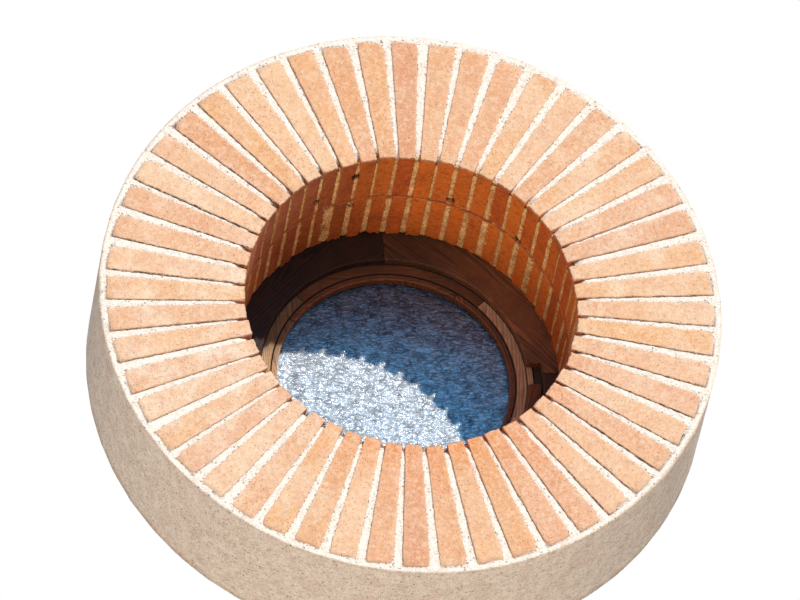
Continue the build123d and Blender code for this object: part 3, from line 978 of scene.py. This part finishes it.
def wedgeMesh(brick, number, seenEnd):
    # seenEnd is 0 where the front face shows and 1 where the back face does
    shape = brickShape
    (lowIn, lowOut), (highIn, highOut) = brick["corners"]
    long = brick["outer"] - brick["inner"]
    deep = brick["back"] - brick["front"]
    wide = highOut - lowOut
    size = (long, wide, deep)
    acrossCell = (wide - 2 * shape["edgeLines"][-1]) / shape["acrossCells"]
    cells = (shape["cell"], acrossCell, shape["cell"])
    lines = [gridLines(length, cell) for length, cell in zip(size, cells)]
    keys, faces = blockFaces([len(line) for line in lines], seenEnd)
    order = {key: index for index, key in enumerate(keys)}
    seed = Vector((number * 13.7, number * -5.3, 40.0 + number * 2.9))
    out, across = wedgeAxes(brick["angle"])
    points = []
    marks = {label: [] for label in brickWeather["marks"]}
    for key in keys:
        spot = [line[step] for line, step in zip(lines, key)]
        where = Vector(spot)
        endGap = deep - spot[2] if seenEnd else spot[2]
        wander = noise.noise(where * shape["roundScale"] + seed)
        radius = edgeRadius(where, seed, wander, long - spot[0], endGap, seenEnd)
        core = [min(max(value, radius), length - radius) for value, length in zip(spot, size)]
        away = Vector([value - inner for value, inner in zip(spot, core)])
        direction = away.normalized() if away.length > 1e-6 else Vector()
        shown = max(1 - spot[0] / 9, 1 - endGap / 9, 0)
        wave = noise.noise(where * shape["waveScale"] + seed) * shape["waves"]
        wave += noise.noise(where * shape["fineScale"] + seed) * shape["fineWaves"]
        pit = max(0.0, noise.noise(where * shape["pitScale"] - seed) - shape["pitFrom"]) * 3
        pit *= shape["pitDepth"]
        rounded = Vector(core) + direction * radius
        rounded -= direction * (shape["skin"] + wave * 0.6 + pit) * min(1, shown * 2)
        share = rounded[0] / long
        low = lowIn + (lowOut - lowIn) * share
        high = highIn + (highOut - highIn) * share
        acrossShare = rounded[1] / wide
        side = low + (high - low) * acrossShare
        sway = noise.noise(Vector((spot[0] * shape["sideScale"], acrossShare * 3, number)))
        side += (acrossShare - 0.5) * sway * 2 * shape["sideWander"]
        place = out * (brick["inner"] + rounded[0]) + across * side
        place.y = brick["front"] + rounded[2]
        hollow = holeShare(place)
        made = brickMarks(brick, spot, size, share, endGap, direction, across, seenEnd)
        made["hollow"] = min(1.0, brickWeather["hollowRise"] * hollow)
        for label, value in made.items():
            marks[label].append(value)
        points.append(place + out * hollow * shape["holePull"])
    return points, [[order[key] for key in face] for face in faces], marks


laidBricks = {"front": [], "rear": []}


def buildBricks():
    number = 0
    chance = random.Random(11)
    shrink = brickShape["innerShrink"]
    for row, seenEnd in (("front", 0), ("rear", 1)):
        for side in ("right", "top", "left", "bottom"):
            name = f"{row}_bricks_{side}"
            points, faces = [], []
            marks = {label: [] for label in [*brickWeather["marks"], "brickNumber"]}
            for part in looseParts(name):
                brick = measureBrick(part)
                shift = chance.uniform(-1, 1) * brickShape["innerShift"]
                (lowIn, lowOut), (highIn, highOut) = brick["corners"]
                brick["corners"] = [(lowIn + shrink + shift, lowOut), (highIn - shrink + shift, highOut)]
                laidBricks[row].append(brick)
                made, quads, madeMarks = wedgeMesh(brick, number, seenEnd)
                faces += [[index + len(points) for index in face] for face in quads]
                points += made
                madeMarks["brickNumber"] = [chance.random()] * len(made)
                for label, values in madeMarks.items():
                    marks[label] += values
                number += 1
            piece = addPiece(f"laid_{name}", points, faces, brickMaterial, marks, brickShape["smoothAngle"])
            standFor(piece, name)
        laidBricks[row].sort(key=lambda brick: brick["angle"] % (2 * math.pi))
    print("bricks laid,", number)


# Mortar: one closed bed whose skin is rough where it shows between the bricks

mortarShape = {
    "joints": 52,
    "acrossJoint": [-1.25, -0.96, -0.74, -0.53, -0.27, 0.0, 0.27, 0.53, 0.74, 0.96, 1.25],  # in degrees
    "cell": 4.2,
    "backCell": 9.0,
    "rimCells": 14,
    "behindBricks": 2.6,
    "lumps": 1.5,
    "lumpScale": 0.11,
    "fineLumps": 0.7,
    "fineScale": 0.34,
    "level": 0.7,
    "raised": 0.7,
    "raisedReveal": {"front": 1.5, "rear": 2.0},
    "raisedLeast": -0.6,
    "smear": {"front": 1.3, "rear": 0.8},
    "smearEdge": 1.4,
    "groove": 1.6,
    "grooveWidth": 1.3,
    "backSwell": 3.8,
    "swellReach": 45,
    "crossJointHalf": 5.0,
    "notchDepth": 17.0,
    "notchReach": 24.0,
    "holeDepth": 16.0,
    "backNotch": 4.0,
    "backNotchReach": 9,
    "grittyEdge": 3.0,
    "toneReach": 7,
    "farFromBricks": 9.0,
}


def gapBeside(brick, point, side):
    # how far a point lies outside one long edge of a brick, and the way that side of the brick faces
    out, across = wedgeAxes(brick["angle"])
    nearEnd, farEnd = brick["corners"][side]
    rise = (farEnd - nearEnd) * (point.dot(out) - brick["inner"])
    edge = nearEnd + rise / (brick["outer"] - brick["inner"])
    if side == 0:
        return edge - point.dot(across), -across
    return point.dot(across) - edge, across


def besideBricks(row, point):
    # the gap to the nearer brick beside a joint, and how much painted shadow a place takes under the upper
    # one
    angle = math.atan2(point.z, point.x) % (2 * math.pi)
    bricks = laidBricks[row]
    after = next((at for at, brick in enumerate(bricks) if brick["angle"] % (2 * math.pi) > angle), 0)
    gaps = [gapBeside(bricks[after], point, 0), gapBeside(bricks[after - 1], point, 1)]
    closest = min(gap for gap, facing in gaps)
    shadowAndDirt = max(max(0.0, facing.dot(brickWeather["shadowSide"])) *
                    max(0.0, 1 - max(0.0, gap) / mortarShape["grooveWidth"]) for gap, facing in gaps)
    return closest, shadowAndDirt


def mortarSection(inner, rim, back):
    # the bed's outline in one plane through the axis, as (radius, depth, face)
    shape = mortarShape
    wide = rim - inner
    frontSteps = round(wide / shape["cell"])
    backSteps = round(wide / shape["backCell"])
    depthSteps = round(back / shape["cell"])
    section = [(inner + wide * step / frontSteps, 0.0, "front") for step in range(frontSteps)]
    section += [(rim, back * step / shape["rimCells"], "rim") for step in range(shape["rimCells"])]
    section += [(rim - wide * step / backSteps, back, "back") for step in range(backSteps)]
    return section + [(inner, back - back * step / depthSteps, "reveal") for step in range(depthSteps)]


def mortarPoint(bed, radius, depth, face, angle, notch, level):
    # one point of the skin, moved off the plain bed, and its marks
    shape = mortarShape
    where = ringPoint(radius, depth, angle)
    fromInner = radius - bed["inner"]
    lump = noise.noise(where * shape["lumpScale"]) * shape["lumps"]
    lump += noise.noise(where * shape["fineScale"]) * shape["fineLumps"]
    proud = shape["raised"] + lump + level
    corner = max(0.0, 1 - fromInner / shape["notchReach"]) * max(0.0, 1 - depth / shape["notchReach"])
    sink = corner ** 1.5 * shape["notchDepth"] * notch
    tone = dust = hollow = shadowAndDirt = 0.0
    gap = shape["farFromBricks"]
    if face == "front":
        if radius < bed["brickRim"]:
            # painted shadow along the bricks' lower edges, where a groove is cut too
            gap, shadowAndDirt = besideBricks("front", where)
        depth += sink - proud + shadowAndDirt * shape["groove"]
        # the reveal's painted shade reaches a little onto the front face by the inner edge
        tone = max(0.0, 1 - fromInner / shape["toneReach"]) * 0.8
    elif face == "reveal":
        # painted shade and warm bounce light on the reveal, weaker where it faces up
        tone = 1.0 - 0.7 * max(0.0, -math.sin(angle))
        fromCross = abs(depth - bed["crossJoint"]) / shape["crossJointHalf"]
        dust = max(0.0, min(1.0, 1.8 - 1.4 * fromCross))
        row = "front" if depth < bed["crossJoint"] else "rear"
        gap, shadowAndDirt = besideBricks(row, where)
        shadowAndDirt *= 0.5
        smear = (0.4 + noise.noise(where * 0.16) + noise.noise(where * 0.5) * 0.6) * shape["smear"][row]
        cover = max(0.0, min(1.0, 0.5 + (gap + smear) / shape["smearEdge"]), 0.9 * dust)
        raised = max(shape["raisedLeast"], lump * 0.8 + level * 0.6 + shape["raisedReveal"][row])
        radius += sink - raised * cover * min(1.0, depth / 30) + shape["behindBricks"] * (1 - cover)
        hollow = holeShare(where)
        radius += shape["holeDepth"] * hollow
        nearBack = max(0.0, 1 - (bed["back"] - depth) / shape["backNotchReach"])
        radius += shape["backNotch"] * notch * nearBack * cover
    elif face == "back":
        nearReveal = max(0.0, 1 - fromInner / shape["swellReach"])
        depth += min(proud + nearReveal * shape["backSwell"] * (0.7 + lump), shape["backSwell"])
        tone = 0.45 + 0.55 * nearReveal
    else:
        radius += min(0.0, lump)
        tone = 0.3
    marks = {"revealShadeTone": tone, "brickDust": dust, "shadowAndDirt": shadowAndDirt,
             "hollow": min(1.0, brickWeather["hollowRise"] * hollow),
             "nearBrick": max(0.0, 1 - max(0.0, gap) / shape["grittyEdge"])}
    return ringPoint(radius, depth, angle), marks


def buildMortar():
    shape = mortarShape
    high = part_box("mortar_bed")[1]
    inner = min(math.hypot(v.co.x, v.co.z) for v in nodes["mortar_bed"].data.vertices) / mm
    crossJoint = (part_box("front_bricks_top")[1].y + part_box("rear_bricks_top")[0].y) / 2 / mm
    bed = {"inner": inner, "back": high.y / mm, "crossJoint": crossJoint,
           "brickRim": laidBricks["front"][0]["outer"]}
    section = mortarSection(inner, high.x / mm, bed["back"])
    chance = random.Random(23)
    notch = [chance.uniform(0.45, 1.0) for joint in range(shape["joints"])]
    level = [chance.uniform(-1, 1) * shape["level"] for joint in range(shape["joints"])]
    lines = [(joint, offset) for joint in range(shape["joints"]) for offset in shape["acrossJoint"]]
    points = []
    marks = {label: [] for label in ("revealShadeTone", "brickDust", "hollow", "shadowAndDirt", "nearBrick")}
    for joint, offset in lines:
        angle = math.radians(joint * 360 / shape["joints"] + offset)
        for radius, depth, face in section:
            point, made = mortarPoint(bed, radius, depth, face, angle, notch[joint], level[joint])
            points.append(point)
            for label, value in made.items():
                marks[label].append(value)
    count = len(section)
    faces = []
    for line in range(len(lines)):
        after = (line + 1) % len(lines)
        for step in range(count):
            following = (step + 1) % count
            faces.append((line * count + step, after * count + step, after * count + following,
                          line * count + following))
    standFor(addPiece("laid_mortar", points, faces, mortarMaterial, marks), "mortar_bed")
    print("mortar laid,", len(faces))


buildBricks()
buildMortar()


# Timber and fittings: the solids of the frame with their arrises rounded and worn

copyShape = {"flat": 0.6, "sharp": 38, "segments": 2}  # angles in degrees


def roundedCopy(name, newName, material, rounding):
    work = bmesh.new()
    work.from_mesh(nodes[name].data)
    bmesh.ops.remove_doubles(work, verts=work.verts, dist=1e-6)
    flat = math.radians(copyShape["flat"])
    bmesh.ops.dissolve_limit(work, angle_limit=flat, verts=work.verts, edges=work.edges)
    sharp = [edge for edge in work.edges if len(edge.link_faces) == 2
             and edge.calc_face_angle(0) > math.radians(copyShape["sharp"])]
    layer = work.faces.layers.float.new("wornEdge")
    made = bmesh.ops.bevel(work, geom=sharp, offset=rounding * mm, offset_type="OFFSET", profile=0.5,
                           segments=copyShape["segments"], affect="EDGES", clamp_overlap=True)
    for face in made["faces"]:
        face[layer] = 1.0
    mesh = bpy.data.meshes.new(newName)
    work.to_mesh(mesh)
    work.free()
    mesh.materials.clear()
    mesh.materials.append(material)
    mesh.shade_smooth()
    mesh.set_sharp_from_angle(angle=math.radians(copyShape["sharp"]))
    piece = addObject(newName, mesh)
    piece.modifiers.new("evenNormals", "WEIGHTED_NORMAL").keep_sharp = True
    standFor(piece, name)


def finishNode(name, material):
    nodes[name].data.materials.clear()
    nodes[name].data.materials.append(material)


# name, look and middle of the piece in degrees
timberPieces = [
    ("outer_board_upper_right", "brown", 45), ("outer_board_upper_left", "black", 135),
    ("outer_board_lower_left", "frame", 225), ("outer_board_lower_right", "frame", 315),
    ("lining_right", "frame", 15), ("lining_top", "frame", 105), ("lining_left", "frame", 195),
    ("lining_bottom", "frame", 285),
    ("room_stop_right", "frame", 0), ("room_stop_top", "frame", 90), ("room_stop_left", "frame", 180),
    ("room_stop_bottom", "frame", 270),
    ("sash_right", "pale", 0), ("sash_top", "sash", 90), ("sash_left", "bleached", 180),
    ("sash_bottom", "sash", 270),
    ("weather_bead_left", "red", 200), ("weather_bead_bottom", "red", 270),
    ("weather_bead_right", "red", 340),
    ("room_bead_right", "sash", 20), ("room_bead_top", "sash", 90), ("room_bead_left", "sash", 160),
    ("glazing_bead_upper_left", "sash", 99), ("glazing_bead_lower_left", "bleached", 189),
    ("glazing_bead_lower_right", "sash", 279), ("glazing_bead_upper_right", "sash", 9),
]


def pieceEnds(name, middle):
    # the angles at which a curved piece starts and ends
    angles = [math.degrees(math.atan2(v.co.z, v.co.x)) for v in nodes[name].data.vertices]
    turns = [(angle - middle + 180) % 360 - 180 for angle in angles]
    return (middle + min(turns), middle + max(turns))


def buildTimber():
    for index, (name, look, middle) in enumerate(timberPieces):
        offset = tuple(index * step for step in timberFinish["apart"])
        material = makeTimberMaterial(name, timberLook[look], middle + 90, offset, pieceEnds(name, middle))
        roundedCopy(name, f"worn_{name}", material, timberFinish["rounding"])
    finishNode("sash_dowels", makeTimberMaterial("dowels", timberLook["pale"], 0, (3.0, 1.0, 2.0)))
    print("timber dressed,", len(timberPieces))


def buildFittings():
    for name in ("bolt_plate", "bolt_keeper", "bolt_bar", "pivot_socket_right", "pivot_socket_left",
                 "pivot_pin_right", "pivot_pin_left"):
        roundedCopy(name, f"cast_{name}", brassMaterial, metalFinish["rounding"])
    for name in ("bolt_plate", "bolt_keeper", "pivot_pin", "pivot_socket", "frame"):
        finishNode(f"{name}_screws", zincMaterial)
    finishNode("glass_bedding", beddingMaterial)
    print("fittings dressed")


# The pane's street face is pressed in flat cells with creases between; lengths are in millimetres

glassShape = {
    "cells": 270,
    "cellWide": 15.0,
    "cellHigh": 7.2,
    "waveWide": 7.0,
    "waveHigh": 3.4,
    "wander": 5.0,
    "wanderScales": (0.06, 0.07),
    "depth": 0.2,
    "waveDepth": 0.1,
    "creaseWidth": 0.2,
    "waveCrease": 0.11,
    "creaseRise": 1.4,
    "patchScale": 0.05,
    "flatRim": 4,
    "smoothAngle": 40,
}


def glassFace(x, z, radius):
    # how far the face lies back at a place, and how strong the crease is there
    shape = glassShape
    u = x + noise.noise(Vector((x, 3.0, z)) * shape["wanderScales"][0]) * shape["wander"]
    v = z + noise.noise(Vector((x, 9.0, z)) * shape["wanderScales"][1]) * shape["wander"]
    near = noise.voronoi(Vector((u / shape["cellWide"], 0.0, v / shape["cellHigh"])))[0]
    dome = min(1.0, near[1] - near[0])
    wave = abs(noise.noise(Vector((u / shape["waveWide"], 5.0, v / shape["waveHigh"]))))
    inset = shape["depth"] * (1 - dome) ** 2 + shape["waveDepth"] * (1 - 2 * wave)
    edgeFade = min(1.0, (radius - math.hypot(x, z)) / shape["flatRim"])
    patchy = 0.7 + 0.8 * noise.noise(Vector((x, 21.0, z)) * shape["patchScale"])
    line = max(1 - dome / shape["creaseWidth"], 1 - wave / shape["waveCrease"])
    return max(0.0, inset) * edgeFade, max(0.0, min(1.0, line * shape["creaseRise"])) * min(1.0, patchy)


def buildGlass():
    low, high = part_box("glass_pane")
    radius = high.x / mm
    front, back = low.y / mm, high.y / mm
    count = glassShape["cells"]
    side = count + 1

    def discPlace(i, j):
        # a square grid drawn in to a disc
        a, b = 2 * i / count - 1, 2 * j / count - 1
        return radius * a * math.sqrt(1 - b * b / 2), radius * b * math.sqrt(1 - a * a / 2)

    points, creases = [], []
    for x, z in (discPlace(i, j) for i in range(side) for j in range(side)):
        inset, crease = glassFace(x, z, radius)
        points.append((x, front + inset, z))
        creases.append(crease)
    faces = [(i * side + j, (i + 1) * side + j, (i + 1) * side + j + 1, i * side + j + 1)
             for i in range(count) for j in range(count)]
    rim = [(i, 0) for i in range(count)] + [(count, j) for j in range(count)]
    rim += [(i, count) for i in range(count, 0, -1)] + [(0, j) for j in range(count, 0, -1)]
    frontRim = [i * side + j for i, j in rim]
    backRim = [len(points) + step for step in range(len(rim))]
    points += [(x, back, z) for x, z in (discPlace(i, j) for i, j in rim)]
    middle = len(points)
    points.append((0.0, back, 0.0))
    around = [(step, (step + 1) % len(rim)) for step in range(len(rim))]
    faces += [(frontRim[after], frontRim[step], backRim[step], backRim[after]) for step, after in around]
    faces += [(backRim[after], backRim[step], middle) for step, after in around]
    creases += [0.0] * (len(points) - len(creases))
    piece = addPiece("hammered_pane", points, faces, glassMaterial, {"crease": creases},
                     glassShape["smoothAngle"])
    standFor(piece, "glass_pane")
    print("glass made,", len(faces))


buildTimber()
buildFittings()
buildGlass()

# Stage, lights and camera

stageLook = {
    "floorGap": 1.0,
    "floorSize": 60.0,
    "floorColour": (0.80, 0.79, 0.77, 1.0),
    "floorRoughness": 0.8,
    "floorGlow": (0.46, 0.44, 0.42, 1.0),
    "background": (1.0, 1.0, 1.0, 1.0),
    "fill": (0.28, 0.30, 0.33, 1.0),
    "reflectedSky": (0.115, 0.7, 1.46, 1.0),
    "reflectedRoom": (0.8, 0.8, 0.8, 1.0),
    "horizon": (-0.1, 0.1),  # where reflections turn from the sky to the room
    "lampDistance": 4,
    "lamps": {
        "keyLight": {"travel": (-0.391, 0.726, -0.566), "strength": 2.93, "angle": 1.0,
                     "colour": (1.0, 0.965, 0.91)},
        "groundLight": {"travel": (0.34, 0.38, 0.86), "strength": 1.0, "angle": 20.0,
                        "colour": (1.0, 0.88, 0.74)},
    },
}


def buildFloor():
    half = stageLook["floorSize"] / 2
    level = cadBox[0].z - stageLook["floorGap"] * mm
    mesh = bpy.data.meshes.new("floor")
    corners = [(x * half, y * half, level) for x, y in ((-1, -1), (1, -1), (1, 1), (-1, 1))]
    mesh.from_pydata(corners, [], [(0, 1, 2, 3)])
    material, shader, place = newMaterial("paleFloor")
    fillInputs(shader, {"Base Color": stageLook["floorColour"], "Roughness": stageLook["floorRoughness"]})
    # the photo's camera and the light off the ground come from below, so the floor lets them through
    clear = addNode("BsdfTransparent").outputs[0]
    under = addNode("NewGeometry").outputs["Backfacing"]
    rays = addNode("LightPath").outputs
    glow = addNode("Emission", None, {"Color": stageLook["floorGlow"]}).outputs[0]
    parts = {node.type: node for node in material.node_tree.nodes}
    body = parts["BSDF_PRINCIPLED"].outputs[0]
    even = addNode("MixShader", None, {0: rays["Is Diffuse Ray"], 1: body, 2: glow}).outputs[0]
    passing = larger(times(under, rays["Is Camera Ray"]), rays["Is Shadow Ray"])
    choice = addNode("MixShader", None, {0: passing, 1: even, 2: clear}).outputs[0]
    fillInputs(parts["OUTPUT_MATERIAL"].inputs, {"Surface": choice})
    mesh.materials.append(material)
    addObject("floor", mesh)


def buildLight():
    world = bpy.data.worlds.new("studio")
    bpy.context.scene.world = world
    world.use_nodes = True
    drawing["tree"] = world.node_tree
    drawing["tree"].nodes.clear()
    rays = addNode("LightPath").outputs
    direct = larger(rays["Is Camera Ray"], rays["Is Transmission Ray"])
    # gloss shows the open sky on the street side, and a pale room behind the window
    depth = axes(addNode("TexCoord").outputs["Generated"])[1]
    behind = remap(depth, *stageLook["horizon"])
    mirrored = mixColour(behind, stageLook["reflectedSky"], stageLook["reflectedRoom"])
    colour = mixColour(rays["Is Glossy Ray"], stageLook["fill"], mirrored)
    colour = mixColour(direct, colour, stageLook["background"])
    shade = addNode("Background", None, {"Color": colour, "Strength": 1.0})
    addNode("OutputWorld", None, {"Surface": shade.outputs[0]})
    for name, settings in stageLook["lamps"].items():
        lamp = bpy.data.lights.new(name, "SUN")
        lamp.energy = settings["strength"]
        lamp.angle = math.radians(settings["angle"])
        lamp.color = settings["colour"]
        holder = addObject(name, lamp)
        travel = Vector(settings["travel"])
        holder.rotation_mode = "QUATERNION"
        holder.rotation_quaternion = travel.to_track_quat("-Z", "Y")
        holder.location = travel * -stageLook["lampDistance"]


photoView = {
    "azimuth": -9.17,
    "elevation": -30.6,
    "roll": 5.2,
    "distance": 20.0,
    "aim": (0.0, -0.004, 0.0),
    "aimLeft": 0.0198,
    "lens": 513.0,
    "sensor": 36.0,
    "reach": 200.0,
}


def buildCamera():
    azimuth, elevation, roll = (math.radians(photoView[name]) for name in ("azimuth", "elevation", "roll"))
    back = Vector((math.sin(azimuth) * math.cos(elevation), -math.cos(azimuth) * math.cos(elevation),
                   math.sin(elevation)))
    right = Vector((math.cos(azimuth), math.sin(azimuth), 0.0))
    up = back.cross(right)
    imageRight = math.cos(roll) * right - math.sin(roll) * up
    imageUp = math.sin(roll) * right + math.cos(roll) * up
    data = bpy.data.cameras.new("photoCamera")
    data.lens = photoView["lens"]
    data.sensor_width = photoView["sensor"]
    data.clip_end = photoView["reach"]
    camera = addObject("photoCamera", data)
    place = Vector(photoView["aim"]) + back * photoView["distance"] - imageRight * photoView["aimLeft"]
    turned = Matrix((imageRight, imageUp, back)).transposed().to_4x4()
    camera.matrix_world = Matrix.Translation(place) @ turned
    bpy.context.scene.camera = camera


buildFloor()
buildLight()
buildCamera()
bpy.context.scene.view_settings.view_transform = "Standard"
print("stage set")

print("done")
